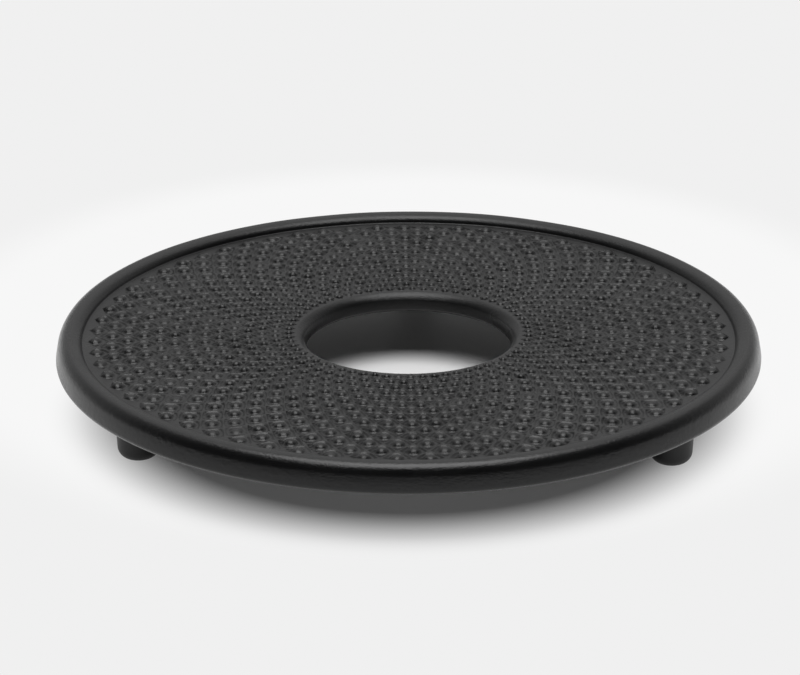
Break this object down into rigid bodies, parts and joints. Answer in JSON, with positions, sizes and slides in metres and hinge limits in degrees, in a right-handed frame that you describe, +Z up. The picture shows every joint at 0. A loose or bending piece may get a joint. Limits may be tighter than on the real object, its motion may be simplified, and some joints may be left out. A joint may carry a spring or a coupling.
{
  "type": "trivet",
  "caption": "Round cast-iron trivet with a large middle hole, a raised rounded rim, staggered hobnails on top and rubber-capped studs as feet.",
  "frame": {"origin": "on the table, under the middle of the disc", "axes": "+Z up, square to the disc; +Y towards the rear foot; -Y towards the viewer of the picture"},
  "size_m": [0.15, 0.15, 0.0176],
  "materials": {
    "iron": "satin black, fine sand-cast grain",
    "rubber": "matte black, smooth"
  },
  "bodies": {
    "root": {"trivet_plate": "iron", "foot_cap_rear": "rubber", "foot_cap_left": "rubber", "foot_cap_right": "rubber"}
  },
  "joints": []
}
